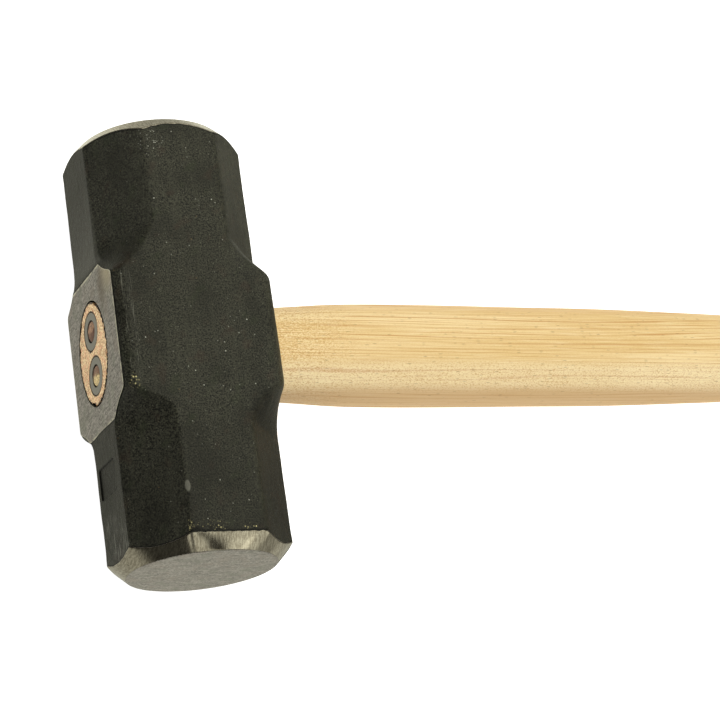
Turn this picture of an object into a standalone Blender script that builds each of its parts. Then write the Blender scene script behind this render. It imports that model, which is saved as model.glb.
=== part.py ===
"""Double-faced sledgehammer: a forged octagonal head, a hickory haft and two ring wedges.

The hammer lies on its lower cheek. The origin is the middle of that cheek, under the centre of the
eye. +X runs along the haft to its butt, +Y from one striking face to the other, and +Z is up.
Lengths are in metres.
"""

import math

import bmesh
import bpy

# Head
CHEEK_SPAN = 0.064  # lower cheek to upper cheek
HEAD_LENGTH = 0.1744  # striking face to striking face
POLL_DEPTH = 0.0656  # across the flats that face along the haft, on the octagonal polls
GROUND_FACE = -0.03315  # X of the face ground flat round the eye, where the wedges are
HAFT_FACE = 0.0328  # X of the block's opposite face, where the haft enters
FACE_RADIUS = 0.02875  # flat circle of a striking face, inside its turned 45 degree bevel
CHAMFER_ON_CHEEK = 0.0181  # how much of the cheek's width a poll chamfer takes, along X
CHAMFER_ON_SIDE = 0.0189  # how much of the side's height a poll chamfer takes, along Z
BLOCK_EDGE = {  # the block's rounded edges, measured the same two ways, by (X sign, Z sign)
    (-1, 1): (0.0052, 0.0038),
    (-1, -1): (0.0075, 0.0072),
    (1, 1): (0.0075, 0.0075),
    (1, -1): (0.0075, 0.0075),
}
RISE_START = 0.041  # distances from the eye's centre between which the eye side rises to the block
RISE_END = 0.0303
SCOOP_ON_SIDE = {  # where a chamfer starts and stops running out, along the side, by (X sign, Y sign)
    (-1, 1): (0.0350, 0.0228),
    (-1, -1): (0.0350, 0.0228),
    (1, 1): (0.0314, 0.0200),
    (1, -1): (0.0400, 0.0199),
}
SCOOP_POWER = {  # how slowly it starts to run out there
    (-1, 1): 1.5,
    (-1, -1): 1.5,
    (1, 1): 1.5,
    (1, -1): 2.0,
}
SCOOP_ON_CHEEK = {  # where it starts and stops along the cheek
    (-1, 1): (0.0455, 0.0222),
    (-1, -1): (0.0335, 0.0246),
    (1, 1): (0.0385, 0.0208),
    (1, -1): (0.0380, 0.0220),
}
SCOOP_STEPS = 8
EDGE_STEPS = 4

# Blank stamp recess on the eye side, below the block
STAMP_WIDTH = 0.017
STAMP_HEIGHT = 0.0125
STAMP_DEPTH = 0.0006
STAMP_PLACE = (-0.050, -0.0015)  # its centre, along Y and Z from the head's centre

# Eye, as half axes along Y and Z
EYE_TOP = (0.0208, 0.0160)  # at the ground face, where the wedges spread the haft
EYE_THROAT = (0.0180, 0.0136)
EYE_MOUTH = (0.0182, 0.0138)  # where the haft enters
THROAT_X = 0.006
EYE_SEGMENTS = 48

# Haft
HAFT_LENGTH = 0.914  # ground face to butt, 36 in
HAFT_SEGMENTS = 36
HAFT_OUTLINE = (  # distance from the eye's centre, half width along Y, half thickness along Z
    (0.0335, 0.0187, 0.0144),
    (0.049, 0.0197, 0.0150),
    (0.066, 0.0208, 0.0156),
    (0.085, 0.0212, 0.0158),
    (0.112, 0.0213, 0.0159),
    (0.150, 0.0211, 0.0157),
    (0.192, 0.0209, 0.0155),
    (0.232, 0.0199, 0.0150),
    (0.290, 0.0182, 0.0142),
    (0.390, 0.0169, 0.0136),
    (0.560, 0.0160, 0.0131),
    (0.720, 0.0159, 0.0130),
    (0.810, 0.0165, 0.0134),
    (0.850, 0.0177, 0.0143),
    (0.876, 0.0179, 0.0145),
)
BUTT_ROUNDING = 0.0040
OVAL_POWER = 0.92  # below 1, the haft's oval is a little fuller than an ellipse

# Ring wedges
WEDGE_OFFSET = 0.0090  # from the eye's centre, along the eye's long axis
WEDGE_LENGTH = 0.022
WEDGE_OUTER = (0.00735, 0.0068)  # outer radius at the ground face and at the cutting tip
WEDGE_INNER = (0.0044, 0.0062)
WEDGE_SEGMENTS = 40

CLEARANCE = 0.0003  # left between pieces that touch
OVERCUT = 0.004  # how far a cutter runs past the surface that it opens


def clear_scene():
    for obj in list(bpy.data.objects):
        bpy.data.objects.remove(obj, do_unlink=True)


def material(name, color, roughness, metallic):
    made = bpy.data.materials.new(name)
    made.use_nodes = True
    shader = made.node_tree.nodes["Principled BSDF"]
    shader.inputs["Base Color"].default_value = (*color, 1.0)
    shader.inputs["Roughness"].default_value = roughness
    shader.inputs["Metallic"].default_value = metallic
    made.diffuse_color = (*color, 1.0)
    return made


def object_from(name, bm):
    """A new object that holds the bmesh, with its faces turned outwards."""
    bmesh.ops.recalc_face_normals(bm, faces=bm.faces)
    mesh = bpy.data.meshes.new(name)
    bm.to_mesh(mesh)
    bm.free()
    obj = bpy.data.objects.new(name, mesh)
    bpy.context.scene.collection.objects.link(obj)
    return obj


def loft(name, rings):
    """A closed body through rings of equally many points, capped at both ends."""
    bm = bmesh.new()
    loops = [[bm.verts.new(point) for point in ring] for ring in rings]
    bm.faces.new(loops[0])
    bm.faces.new(loops[-1])
    for near, far in zip(loops, loops[1:]):
        for i in range(len(near)):
            j = (i + 1) % len(near)
            bm.faces.new((near[i], near[j], far[j], far[i]))
    return object_from(name, bm)


def turned(name, profile, axis, segments):
    """A closed profile in the plane of the axis, spun a full turn round it. Points are (along, radius)."""
    bm = bmesh.new()
    if axis == "X":
        points = [bm.verts.new((along, radius, 0)) for along, radius in profile]
        direction = (1, 0, 0)
    else:
        points = [bm.verts.new((radius, along, 0)) for along, radius in profile]
        direction = (0, 1, 0)
    outline = [bm.edges.new((a, b)) for a, b in zip(points, points[1:])]
    if profile[0][1] > 0:
        outline.append(bm.edges.new((points[-1], points[0])))
    bmesh.ops.spin(
        bm, geom=points + outline, axis=direction, cent=(0, 0, 0),
        angle=2 * math.pi, steps=segments, use_merge=True,
    )
    bmesh.ops.remove_doubles(bm, verts=bm.verts, dist=1e-6)
    return object_from(name, bm)


def place(obj, root, location, look=None):
    obj.parent = root
    obj.location = location
    if look:
        obj.data.materials.append(look)
        obj.data.shade_smooth()
        obj.data.set_sharp_from_angle(angle=math.radians(28))


def boolean(obj, other, operation):
    other.hide_render = True
    other.display_type = "WIRE"
    modifier = obj.modifiers.new(other.name, "BOOLEAN")
    modifier.operation = operation
    modifier.solver = "EXACT"
    modifier.object = other


def mix(a, b, share):
    return a + (b - a) * share


def side_x(sign_x, y):
    """X of a side of the head: the eye side rises a little from the polls to the block."""
    share = (RISE_START - abs(y)) / (RISE_START - RISE_END)
    block = HAFT_FACE if sign_x > 0 else GROUND_FACE
    return mix(sign_x * POLL_DEPTH / 2, block, min(1, max(0, share)))


def scoop(share, power=1.5):
    """How much of a chamfer has run out: slow at first, then steep, as a forging die leaves it."""
    return 1 - (1 - share**power) ** 0.6


def corner(sign_x, sign_y, sign_z, share, beyond=0.0):
    """Points of one long corner, from the side to the cheek, at a share of the way to the block."""
    start, stop = SCOOP_ON_SIDE[sign_x, sign_y]
    y_side = mix(start, stop, share) + beyond
    start, stop = SCOOP_ON_CHEEK[sign_x, sign_y]
    y_cheek = mix(start, stop, share) + beyond
    edge_cheek, edge_side = BLOCK_EDGE[sign_x, sign_z]
    leg_side = max(CHAMFER_ON_SIDE * (1 - scoop(share, SCOOP_POWER[sign_x, sign_y])), edge_side)
    leg_cheek = max(CHAMFER_ON_CHEEK * (1 - scoop(share)), edge_cheek)
    side = side_x(sign_x, y_side)
    points = []
    for step in range(EDGE_STEPS + 1):
        along = step / EDGE_STEPS
        turn = along * math.pi / 2
        from_side = 1 - mix(1 - along, math.cos(turn), share)
        from_cheek = 1 - mix(along, math.sin(turn), share)
        x = side - sign_x * leg_cheek * from_side
        z = CHEEK_SPAN / 2 - leg_side * from_cheek
        y = mix(y_side, y_cheek, along)
        points.append((x, sign_y * y, sign_z * z))
    return points


def head_ring(sign_y, share, beyond=0.0):
    """One ring of points round the head, at a share of the way from poll to block."""
    return (
        corner(1, sign_y, 1, share, beyond)
        + corner(-1, sign_y, 1, share, beyond)[::-1]
        + corner(-1, sign_y, -1, share, beyond)
        + corner(1, sign_y, -1, share, beyond)[::-1]
    )


def forged_blank():
    """The octagonal bar with its square block, longer than the head at both ends."""
    shares = [math.sin(step / SCOOP_STEPS * math.pi / 2) for step in range(SCOOP_STEPS + 1)]
    half = []
    half.append((0.0, HEAD_LENGTH / 2))
    half.append((0.0, RISE_START - SCOOP_ON_SIDE[-1, 1][0]))
    half.extend((share, 0.0) for share in shares)
    rings = [head_ring(1, share, beyond) for share, beyond in half]
    rings += [head_ring(-1, share, beyond) for share, beyond in reversed(half)]
    return loft("head", rings)


def bevel_gauge():
    """The turned shape that leaves a flat circle and a 45 degree bevel at each end of the head."""
    reach = 0.030
    profile = []
    for sign in (-1, 1):
        face = [(sign * HEAD_LENGTH / 2, 0), (sign * HEAD_LENGTH / 2, FACE_RADIUS)]
        face.append((sign * (HEAD_LENGTH / 2 - reach), FACE_RADIUS + reach))
        profile += face if sign < 0 else face[::-1]
    return turned("bevel_gauge", profile, "Y", 96)


def eye_half_axes(x):
    """Half axes of the eye at a distance along the haft."""
    if x < THROAT_X:
        share = (THROAT_X - x) / (THROAT_X - GROUND_FACE)
        return tuple(mix(throat, top, share) for throat, top in zip(EYE_THROAT, EYE_TOP))
    share = (x - THROAT_X) / (HAFT_FACE - THROAT_X)
    return tuple(mix(throat, mouth, share) for throat, mouth in zip(EYE_THROAT, EYE_MOUTH))


def oval(x, half_y, half_z, segments, power=1.0):
    """A ring of points across the haft's axis; a power below 1 makes it fuller than an ellipse."""
    points = []
    for step in range(segments):
        turn = 2 * math.pi * (step + 0.5) / segments
        y = half_y * math.copysign(abs(math.cos(turn)) ** power, math.cos(turn))
        z = half_z * math.copysign(abs(math.sin(turn)) ** power, math.sin(turn))
        points.append((x, y, z))
    return points


def eye_cutter():
    stations = (GROUND_FACE - OVERCUT, THROAT_X, HAFT_FACE + OVERCUT)
    rings = [oval(x, *eye_half_axes(x), EYE_SEGMENTS) for x in stations]
    return loft("eye_cutter", rings)


def stamp_cutter():
    """A box with rounded upright corners, as deep as the recess plus an overcut."""
    bm = bmesh.new()
    bmesh.ops.create_cube(bm, size=1)
    deep = STAMP_DEPTH + OVERCUT
    bmesh.ops.scale(bm, vec=(deep, STAMP_HEIGHT, STAMP_WIDTH), verts=bm.verts)
    upright = [e for e in bm.edges if abs(e.verts[0].co.x - e.verts[1].co.x) > deep / 2]
    bmesh.ops.bevel(bm, geom=upright, offset=0.0012, segments=3, profile=0.5, affect="EDGES")
    return object_from("stamp_cutter", bm)


def make_head(root, center):
    head = forged_blank()
    place(head, root, center, material("forged_steel", (0.045, 0.045, 0.038), 0.55, 0.6))
    gauge = bevel_gauge()
    place(gauge, root, center)
    boolean(head, gauge, "INTERSECT")
    eye = eye_cutter()
    place(eye, root, center)
    boolean(head, eye, "DIFFERENCE")
    stamp = stamp_cutter()
    middle = -POLL_DEPTH / 2 + STAMP_DEPTH - (STAMP_DEPTH + OVERCUT) / 2
    place(stamp, root, (middle, STAMP_PLACE[0], center[2] + STAMP_PLACE[1]))
    boolean(head, stamp, "DIFFERENCE")


def haft_rings():
    seat = HAFT_FACE + CLEARANCE
    butt = GROUND_FACE + HAFT_LENGTH
    rings = []
    for x in (GROUND_FACE, THROAT_X, seat):
        half_y, half_z = eye_half_axes(min(x, HAFT_FACE))
        rings.append(oval(x, half_y - CLEARANCE, half_z - CLEARANCE, HAFT_SEGMENTS))
    for index, (x, half_y, half_z) in enumerate(HAFT_OUTLINE):
        power = mix(1.0, OVAL_POWER, min(1, index / 3))
        rings.append(oval(x, half_y, half_z, HAFT_SEGMENTS, power))
    _, half_y, half_z = HAFT_OUTLINE[-1]
    for turn in (0, 30, 60, 90):
        inset = BUTT_ROUNDING * (1 - math.cos(math.radians(turn)))
        x = butt - BUTT_ROUNDING * (1 - math.sin(math.radians(turn)))
        rings.append(oval(x, half_y - inset, half_z - inset, HAFT_SEGMENTS, OVAL_POWER))
    return rings


def wedge_profile(clearance=0.0, overcut=0.0):
    """Half section of a ring wedge from its ground end, grown by a clearance to cut its groove."""
    outer_top, outer_tip = WEDGE_OUTER
    inner_top, inner_tip = WEDGE_INNER
    return (
        (-overcut, inner_top - clearance),
        (-overcut, outer_top + clearance),
        (WEDGE_LENGTH + clearance, outer_tip + clearance),
        (WEDGE_LENGTH + clearance, inner_tip - clearance),
    )


def make_haft(root, center):
    haft = loft("haft", haft_rings())
    place(haft, root, center, material("hickory", (0.78, 0.56, 0.30), 0.55, 0.0))
    for side in (1, -1):
        groove = turned(
            "groove_cutter", wedge_profile(CLEARANCE, OVERCUT), "X", WEDGE_SEGMENTS
        )
        place(groove, root, (GROUND_FACE, side * WEDGE_OFFSET, center[2]))
        boolean(haft, groove, "DIFFERENCE")


def make_wedges(root, center):
    steel = material("wedge_steel", (0.32, 0.31, 0.30), 0.45, 1.0)
    for name, side in (("upper_ring_wedge", 1), ("lower_ring_wedge", -1)):
        wedge = turned(name, wedge_profile(), "X", WEDGE_SEGMENTS)
        place(wedge, root, (GROUND_FACE, side * WEDGE_OFFSET, center[2]), steel)


def main():
    clear_scene()
    root = bpy.data.objects.new("sledgehammer", None)
    bpy.context.scene.collection.objects.link(root)
    center = (0, 0, CHEEK_SPAN / 2)
    make_head(root, center)
    make_haft(root, center)
    make_wedges(root, center)


main()
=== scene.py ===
"""The looks of the sledgehammer: finished meshes and materials for its four pieces, on a pale floor.

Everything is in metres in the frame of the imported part: +X runs along the haft to its butt, +Y from
one striking face to the other, +Z is up, and the head's axis lies along Y at Z = HEAD_AXIS_Z.
"""

import math

import bmesh
import bpy
import numpy as np
from mathutils import Matrix, Vector


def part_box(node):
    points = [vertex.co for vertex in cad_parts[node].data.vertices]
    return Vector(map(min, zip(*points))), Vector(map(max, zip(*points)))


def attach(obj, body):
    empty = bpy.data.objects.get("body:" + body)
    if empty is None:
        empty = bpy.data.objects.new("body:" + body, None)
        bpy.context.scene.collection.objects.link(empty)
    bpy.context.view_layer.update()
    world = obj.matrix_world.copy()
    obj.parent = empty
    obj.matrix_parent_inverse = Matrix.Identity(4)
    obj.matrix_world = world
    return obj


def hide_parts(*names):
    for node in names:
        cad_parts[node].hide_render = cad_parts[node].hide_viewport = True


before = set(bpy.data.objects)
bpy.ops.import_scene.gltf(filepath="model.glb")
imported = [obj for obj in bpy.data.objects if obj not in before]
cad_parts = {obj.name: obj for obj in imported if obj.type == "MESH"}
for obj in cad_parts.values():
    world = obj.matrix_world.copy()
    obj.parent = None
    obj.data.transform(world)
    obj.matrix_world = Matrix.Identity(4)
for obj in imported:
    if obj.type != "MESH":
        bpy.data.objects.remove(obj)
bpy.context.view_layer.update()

# The frame's own places and sizes
HEAD_LOW, HEAD_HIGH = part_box("head")
HAFT_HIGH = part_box("haft")[1]
HALF_LENGTH = HEAD_HIGH.y  # head's centre to a striking face
HALF_SPAN = (HEAD_HIGH.z - HEAD_LOW.z) / 2  # head's axis to a cheek
HEAD_AXIS_Z = (HEAD_HIGH.z + HEAD_LOW.z) / 2
GROUND_FACE = HEAD_LOW.x  # X of the face ground flat round the eye
HAFT_FACE = HEAD_HIGH.x  # X of the face where the haft enters
BUTT = HAFT_HIGH.x
MM = 0.001

# Head, as the part has it
FLAT = 0.0328  # X of the polls' flats that face along the haft
FACE_RADIUS = 0.02875  # flat circle of a striking face, inside its turned 45 degree bevel
CHAMFER_ON_CHEEK = 0.0181
CHAMFER_ON_SIDE = 0.0189
BLOCK_EDGE = {  # rounded edges of the middle block, on the cheek and on the side, by (X sign, Z sign)
    (-1, 1): (0.0052, 0.0038),
    (-1, -1): (0.0075, 0.0072),
    (1, 1): (0.0075, 0.0075),
    (1, -1): (0.0075, 0.0075),
}
GROUND_BREAK = 20.0  # degrees between the ground face and the rounded edge that meets it
RISE_START, RISE_END = 0.041, 0.0303  # where the eye side rises from the polls to the block
SCOOP_ON_SIDE = {  # where the chamfers start and stop running out, by (X sign, Y sign)
    (-1, 1): (0.0350, 0.0228),
    (-1, -1): (0.0350, 0.0228),
    (1, 1): (0.0314, 0.0200),
    (1, -1): (0.0400, 0.0199),
}
SCOOP_POWER = {(-1, 1): 1.5, (-1, -1): 1.5, (1, 1): 1.5, (1, -1): 2.0}  # how slowly they start there
SCOOP_POWER_ON_CHEEK = 1.5
SCOOP_END_POWER = 0.6  # below 1, so that they end steeply
SCOOP_ON_CHEEK = {
    (-1, 1): (0.0455, 0.0222),
    (-1, -1): (0.0335, 0.0246),
    (1, 1): (0.0385, 0.0208),
    (1, -1): (0.0380, 0.0220),
}
CRISP = 0.00038  # how far the edges at the flats are smoothed
SOFT = {-1: 0.0009, 1: 0.0019}  # the same for the edges at the cheeks, by X sign
SOFT_REACH = 0.007
POLL_START = 0.058  # from here to the bevel a poll is a plain octagon
WORN_END = 0.0809  # where the upper cheek stops at its lower end, ground back in a straight line
BEVEL_EDGE_RADIUS = 0.0006
FACE_EDGE_RADIUS = 0.0009
CORNER_POINTS = 80  # on each corner of a section of the head
FLAT_POINTS = 20  # on each flat between two corners
SECTION_POINTS = 2400  # on a whole section while its edges are rounded
SECTION_COLUMNS = (38, 34, 38, 26, 38, 34, 38, 28)  # kept in the mesh, by corner and flat in turn
SECTION_STEP = 0.00025  # from one section to the next
SECTION_BLUR = 3  # steps that the sections are smoothed over along the head
BENDS_FROM, BENDS_TO = 0.017, 0.047  # distances from the head's centre between which its sides bend
EVERY_FINE, EVERY_COARSE = 2, 8  # how many steps lie between the rows that stay there, and elsewhere
ARC_POINTS = 6  # across each rounded edge of the turned bevels
FORGING_WAVES = ((0.024, 0.00011), (0.007, 0.000035))  # wavelength and depth of the hammered surface
FORGING_FADE = 0.004  # the waves fade over this distance towards machined faces
STAMP_CENTER = (-0.050, HEAD_AXIS_Z - 0.0015)  # Y and Z of the blank stamp recess on the eye side
STAMP_SIZE = (0.0125, 0.017)
STAMP_DEPTH = 0.0006

# Eye, as half axes along Y and Z
EYE_TOP = (0.0208, 0.0160)
EYE_THROAT = (0.0180, 0.0136)
EYE_MOUTH = (0.0182, 0.0138)
THROAT_X = 0.006  # where the eye is narrowest
EYE_SEGMENTS = 128

# Haft and wedges
HAFT_OUTLINE = (  # distance from the eye's centre, half width along Y, half thickness along Z
    (0.0335, 0.0187, 0.0144),
    (0.049, 0.0197, 0.0150),
    (0.066, 0.0208, 0.0156),
    (0.085, 0.0212, 0.0158),
    (0.112, 0.0213, 0.0159),
    (0.150, 0.0211, 0.0157),
    (0.192, 0.0209, 0.0155),
    (0.232, 0.0199, 0.0150),
    (0.290, 0.0182, 0.0142),
    (0.390, 0.0169, 0.0136),
    (0.560, 0.0160, 0.0131),
    (0.720, 0.0159, 0.0130),
    (0.810, 0.0165, 0.0134),
    (0.850, 0.0177, 0.0143),
    (0.876, 0.0179, 0.0145),
)
BUTT_ROUNDING = 0.0040
OVAL_POWER = 0.92  # below 1, so that the haft's section is fuller than an ellipse
OVAL_RUN = 0.05  # length over which it becomes so
HAFT_SEGMENTS = 160
EVEN_FROM, EVEN_STEP = 0.037, 0.004  # the haft's rings stand evenly from there on, this far apart
TORN_DEPTH = 0.0019  # how far the fibres at the eye's end are torn in
CLEARANCE = 0.0003
WEDGE_LENGTH = 0.022
WEDGE_OUTER = (0.00735, 0.0068)
WEDGE_INNER = (0.0044, 0.0062)
WEDGE_OFFSET = 0.0090
WEDGE_SEGMENTS = 96
WEDGE_SOFTENING = 0.00018
WEDGE_SUNK = 0.00004  # how far a wedge's flat end lies below the ground face
NEAR_AXIS = 0.00002  # a radius small enough to close a turned solid

# Camera, at the photograph's viewing angle
CAMERA_PLACE = Vector((-0.31613, -0.29609, 0.81256))
CAMERA_TARGET = Vector((0.07929, -0.00184, 0.03200))
CAMERA_ROLL = -8.8
CAMERA_LENS = 114.63


def mix(a, b, share):
    return a + (b - a) * share


def srgb(red, green, blue):
    """A colour given as 0 to 255 screen values, as the linear values that a shader takes."""
    return tuple(
        value / 12.92 if value <= 0.04045 else ((value + 0.055) / 1.055) ** 2.4
        for value in (red / 255, green / 255, blue / 255)
    )


def waves(points, length, seed, count=28):
    """Smooth noise from about -1 to 1 at each point, as a sum of plane waves round one wavelength."""
    draw = np.random.default_rng(seed)
    directions = draw.normal(size=(count, 3))
    directions /= np.linalg.norm(directions, axis=1)[:, None]
    numbers = 2 * math.pi / (length * draw.uniform(0.7, 1.6, count))
    phases = draw.uniform(0, 2 * math.pi, count)
    total = np.sin(points @ (directions * numbers[:, None]).T + phases).sum(1)
    return np.clip(total / math.sqrt(count), -1.6, 1.6) / 1.6


# ---------------------------------------------------------------- mesh tools


def mesh_object(name, points, faces, material):
    """A new object from points and faces, with its face normals made consistent and its material, if one is
    given.
    """
    mesh = bpy.data.meshes.new(name)
    mesh.from_pydata(np.asarray(points).tolist(), [], faces)
    fixed = bmesh.new()
    fixed.from_mesh(mesh)
    bmesh.ops.remove_doubles(fixed, verts=fixed.verts, dist=1e-7)
    bmesh.ops.recalc_face_normals(fixed, faces=fixed.faces)
    fixed.to_mesh(mesh)
    fixed.free()
    obj = bpy.data.objects.new(name, mesh)
    bpy.context.scene.collection.objects.link(obj)
    if material:
        mesh.materials.append(material)
    return obj


def lofted(name, rows, material, closed="fan"):
    """A closed body through rows of equally many points, closed at both ends by a fan or one face."""
    rows = [np.asarray(row) for row in rows]
    around = len(rows[0])
    points = np.concatenate(rows)
    faces = []
    for j in range(len(rows) - 1):
        for i in range(around):
            k = (i + 1) % around
            faces.append((j * around + i, j * around + k, (j + 1) * around + k, (j + 1) * around + i))
    last = (len(rows) - 1) * around
    if closed == "fan":
        centers = np.array([rows[0].mean(0), rows[-1].mean(0)])
        first_center = len(points)
        points = np.concatenate([points, centers])
        for i in range(around):
            k = (i + 1) % around
            faces.append((first_center, k, i))
            faces.append((first_center + 1, last + i, last + k))
    else:
        faces.append(tuple(range(around)))
        faces.append(tuple(range(last, last + around)))
    return mesh_object(name, points, faces, material)


def carve(obj, cutters):
    """Cuts the cutters out of the object for good, and removes them."""
    for cutter in cutters:
        modifier = obj.modifiers.new(cutter.name, "BOOLEAN")
        modifier.operation = "DIFFERENCE"
        modifier.solver = "EXACT"
        modifier.object = cutter
    depsgraph = bpy.context.evaluated_depsgraph_get()
    carved = bpy.data.meshes.new_from_object(obj.evaluated_get(depsgraph))
    obj.modifiers.clear()
    obj.data = carved
    for cutter in cutters:
        bpy.data.objects.remove(cutter, do_unlink=True)


def settle(obj, angle):
    """Smooth shading, with the edges sharper than an angle in degrees kept sharp."""
    obj.data.shade_smooth()
    obj.data.set_sharp_from_angle(angle=math.radians(angle))


def place_on_part(obj, slot, *nodes):
    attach(obj, "root")
    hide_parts(*nodes)


def oval(x, half_y, half_z, segments, power=1.0):
    """A ring of points across the haft's axis; a power below 1 makes it fuller than an ellipse."""
    turn = 2 * math.pi * (np.arange(segments) + 0.5) / segments
    y = half_y * np.sign(np.cos(turn)) * np.abs(np.cos(turn)) ** power
    z = half_z * np.sign(np.sin(turn)) * np.abs(np.sin(turn)) ** power
    return np.stack([np.full(segments, x), y, z + HEAD_AXIS_Z], 1)


def eye_half_axes(x):
    """Half axes of the eye at a distance along the haft."""
    if x < THROAT_X:
        share = (THROAT_X - x) / (THROAT_X - GROUND_FACE)
        return tuple(mix(throat, top, share) for throat, top in zip(EYE_THROAT, EYE_TOP))
    share = (x - THROAT_X) / (HAFT_FACE - THROAT_X)
    return tuple(mix(throat, mouth, share) for throat, mouth in zip(EYE_THROAT, EYE_MOUTH))


# ---------------------------------------------------------------- head mesh


def side_x(sign_x, y):
    """X of a side of the head: the eye side rises a little from the polls to the block."""
    share = min(1, max(0, (RISE_START - abs(y)) / (RISE_START - RISE_END)))
    return mix(sign_x * FLAT, HAFT_FACE if sign_x > 0 else GROUND_FACE, share)


def corner(sign_x, sign_z, y):
    """One corner of the head's section at y, from the side to the cheek, as points (x, z)."""
    along = np.linspace(0, 1, CORNER_POINTS)
    sign_y = 1 if y > 0 else -1
    start = mix(SCOOP_ON_SIDE[sign_x, sign_y][0], SCOOP_ON_CHEEK[sign_x, sign_y][0], along)
    stop = mix(SCOOP_ON_SIDE[sign_x, sign_y][1], SCOOP_ON_CHEEK[sign_x, sign_y][1], along)
    share = np.clip((start - abs(y)) / (start - stop), 0, 1)
    left_side = (1 - share ** SCOOP_POWER[sign_x, sign_y]) ** SCOOP_END_POWER
    left_cheek = (1 - share**SCOOP_POWER_ON_CHEEK) ** SCOOP_END_POWER
    edge_cheek, edge_side = BLOCK_EDGE[sign_x, sign_z]
    leg_side = np.maximum(CHAMFER_ON_SIDE * left_side, edge_side)
    leg_cheek = np.maximum(CHAMFER_ON_CHEEK * left_cheek, edge_cheek)
    first = math.radians(GROUND_BREAK) if sign_x < 0 else 0.0
    turn = mix(first, math.pi / 2, along)
    round_side = np.cos(turn) / math.cos(first)
    round_cheek = (np.sin(turn) - math.sin(first)) / (1 - math.sin(first))
    x = side_x(sign_x, y) - sign_x * leg_cheek * (1 - mix(1 - along, round_side, share))
    z = HALF_SPAN - leg_side * (1 - mix(along, round_cheek, share))
    return np.stack([x, sign_z * z], 1)


def smooth_loop(loop, step, reach):
    """A closed line of evenly spaced complex points, rounded by a bell curve of that reach."""
    pitch = np.fft.fftfreq(len(loop), step)
    return np.fft.ifft(np.fft.fft(loop) * np.exp(-2 * (math.pi * pitch * reach) ** 2))


def section(y):
    """The head's rounded section at y. Its points keep to the same edges at every y."""
    upper_eye, upper_haft = corner(-1, 1, y), corner(1, 1, y)
    lower_haft, lower_eye = corner(1, -1, y), corner(-1, -1, y)
    pieces = [
        upper_eye,
        np.linspace(upper_eye[-1], upper_haft[-1], FLAT_POINTS),
        upper_haft[::-1],
        np.linspace(upper_haft[0], lower_haft[0], FLAT_POINTS),
        lower_haft,
        np.linspace(lower_haft[-1], lower_eye[-1], FLAT_POINTS),
        lower_eye[::-1],
        np.linspace(lower_eye[0], upper_eye[0], FLAT_POINTS),
    ]
    line = np.concatenate([piece[:-1] for piece in pieces] + [pieces[0][:1]])
    run = np.concatenate([[0], np.cumsum(np.linalg.norm(np.diff(line, axis=0), axis=1))])
    starts = np.cumsum([0] + [len(piece) - 1 for piece in pieces])
    marks = run[starts]
    around = run[-1]
    step = around / SECTION_POINTS
    even = np.arange(SECTION_POINTS) * step
    loop = np.interp(even, run, line[:, 0]) + 1j * np.interp(even, run, line[:, 1])
    rounded = smooth_loop(loop, step, CRISP)
    for sign_x, edges in ((-1, marks[[1, 6]]), (1, marks[[2, 5]])):
        soft = smooth_loop(loop, step, SOFT[sign_x])
        away = np.abs((even[:, None] - edges + around / 2) % around - around / 2).min(1)
        rounded = mix(rounded, soft, np.exp(-((away / SOFT_REACH) ** 6)))
    even = np.append(even, around)
    rounded = np.append(rounded, rounded[0])
    columns = []
    for begin, end, number in zip(marks[:-1], marks[1:], SECTION_COLUMNS):
        columns.append(begin + (end - begin) * (1 - np.cos(math.pi * np.arange(number) / number)) / 2)
    columns = np.concatenate(columns)
    return np.stack([np.interp(columns, even, rounded.real), np.interp(columns, even, rounded.imag)], 1)


def head_middle():
    """Rows of points between the plain polls: sections that are also smoothed along the head."""
    ys = np.arange(-POLL_START, POLL_START + SECTION_STEP / 2, SECTION_STEP)
    sections = np.array([section(y) for y in ys])
    reach = 3 * SECTION_BLUR
    bell = np.exp(-0.5 * (np.arange(-reach, reach + 1) / SECTION_BLUR) ** 2)
    bell /= bell.sum()
    padded = np.pad(sections, ((reach, reach), (0, 0), (0, 0)), mode="edge")
    smoothed = sum(weight * padded[shift : shift + len(ys)] for shift, weight in enumerate(bell))
    rows = []
    for index, y in enumerate(ys):
        every = EVERY_FINE if BENDS_FROM < abs(y) < BENDS_TO else EVERY_COARSE
        if index % every == 0 or index == len(ys) - 1:
            x, z = smoothed[index].T
            rows.append(np.stack([x, np.full(len(x), y), z], 1))
    return rows


def rows_between(first, last, count):
    """Even rows of points between two rows, without those two."""
    return [mix(first, last, share) for share in np.linspace(0, 1, count + 2)[1:-1]]


def fillet(before, at, after, radius):
    """Points of a small curve that rounds the bend of a profile, for every column at once."""
    back = before - at
    back /= np.linalg.norm(back, axis=-1, keepdims=True)
    on = after - at
    on /= np.linalg.norm(on, axis=-1, keepdims=True)
    cosine = np.clip((back * on).sum(-1, keepdims=True), -1, 1)
    half = np.arccos(cosine) / 2
    reach = radius / np.tan(half)
    first, last = at + back * reach, at + on * reach
    shares = np.linspace(0, 1, ARC_POINTS)
    return [mix(mix(first, at, share), mix(at, last, share), share) for share in shares]


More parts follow.
